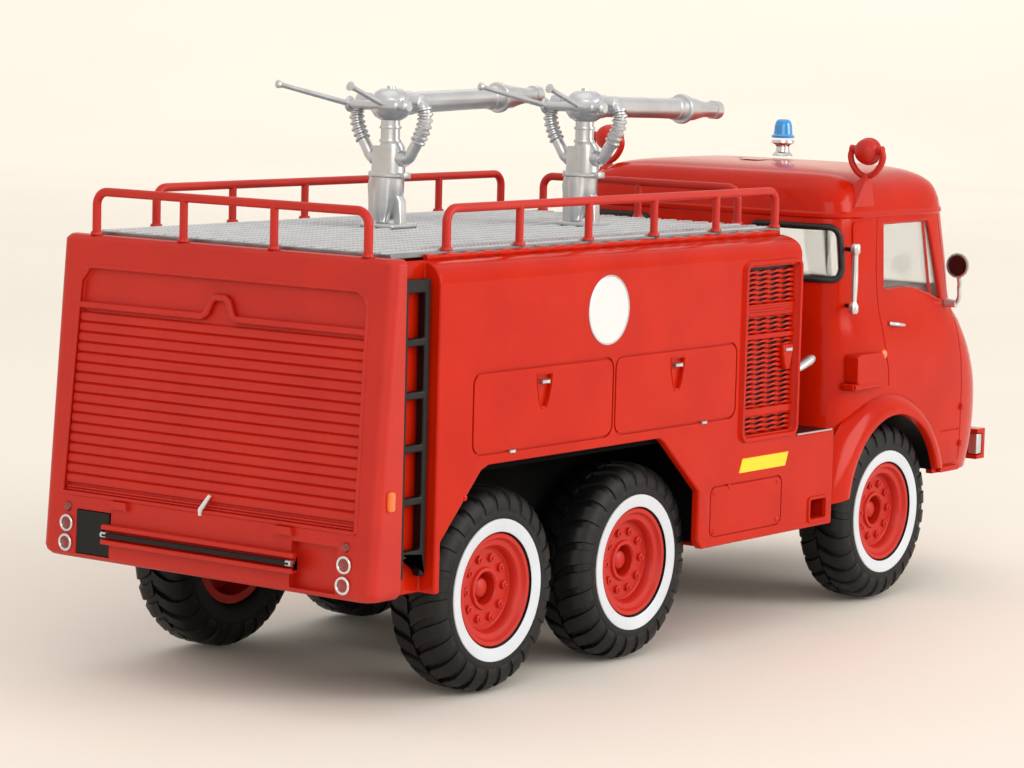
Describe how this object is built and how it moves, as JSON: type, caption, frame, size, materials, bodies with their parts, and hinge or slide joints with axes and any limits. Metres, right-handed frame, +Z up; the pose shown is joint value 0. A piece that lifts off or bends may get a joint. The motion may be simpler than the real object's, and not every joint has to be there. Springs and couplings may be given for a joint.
{
  "type": "die-cast scale model of an airport fire truck",
  "caption": "Die-cast scale model of an airport fire truck: forward cab, boxy red tank body with railed tread deck, roof monitors, side ladders and free-rolling wheels.",
  "frame": {"origin": "on the ground, under the middle of the truck", "axes": "+X forward, +Y to the truck's left, +Z up"},
  "size_m": [0.169, 0.0628, 0.0797],
  "materials": {
    "red_paint": "gloss red paint on die-cast metal",
    "red_plastic": "satin red moulded plastic",
    "black_plastic": "satin black moulded plastic",
    "rubber": "matt black rubber with a white side ring",
    "silver_paint": "silver paint on plastic",
    "chrome": "vacuum chrome",
    "clear_plastic": "clear moulded glazing",
    "blue_lens": "clear blue plastic",
    "steel": "plain steel pin"
  },
  "bodies": {
    "truck": {"body_shell": "red_paint", "cab_shell": "red_paint", "front_bumper": "red_paint", "rear_casting": "red_plastic", "rear_bar": "red_plastic", "rail_rear": "red_plastic", "rail_front": "red_plastic", "rail_left": "red_plastic", "rail_right": "red_plastic", "spotlight_left": "red_plastic", "spotlight_right": "red_plastic", "chassis_frame": "black_plastic", "cab_interior": "black_plastic", "ladder_left": "black_plastic", "ladder_right": "black_plastic", "rear_tube": "black_plastic", "deck_plate": "silver_paint", "monitor_rear_pedestal": "silver_paint", "monitor_rear_gun": "silver_paint", "monitor_front_pedestal": "silver_paint", "monitor_front_gun": "silver_paint", "hand_lever": "silver_paint", "mirror_left": "silver_paint", "mirror_right": "silver_paint", "grab_handle_left": "silver_paint", "grab_handle_right": "silver_paint", "beacon_base": "chrome", "windscreen": "clear_plastic", "corner_window_left": "clear_plastic", "corner_window_right": "clear_plastic", "door_window_left": "clear_plastic", "door_window_right": "clear_plastic", "headlamp_left": "clear_plastic", "headlamp_right": "clear_plastic", "beacon_lens": "blue_lens"},
    "wheelset_rear": {"axle_rear": "steel", "rim_rear_left": "red_plastic", "rim_rear_right": "red_plastic", "tyre_rear_left": "rubber", "tyre_rear_right": "rubber"},
    "wheelset_middle": {"axle_middle": "steel", "rim_middle_left": "red_plastic", "rim_middle_right": "red_plastic", "tyre_middle_left": "rubber", "tyre_middle_right": "rubber"},
    "wheelset_front": {"axle_front": "steel", "rim_front_left": "red_plastic", "rim_front_right": "red_plastic", "tyre_front_left": "rubber", "tyre_front_right": "rubber"}
  },
  "joints": [
    {"name": "wheelset_rear_roll", "type": "hinge", "parent": "truck", "child": "wheelset_rear", "pos_m": [-0.0543, 0, 0.0137], "axis": [0, 1, 0], "continuous": true},
    {"name": "wheelset_middle_roll", "type": "hinge", "parent": "truck", "child": "wheelset_middle", "pos_m": [-0.0223, 0, 0.0137], "axis": [0, 1, 0], "continuous": true},
    {"name": "wheelset_front_roll", "type": "hinge", "parent": "truck", "child": "wheelset_front", "pos_m": [0.0458, 0, 0.0137], "axis": [0, 1, 0], "continuous": true}
  ]
}
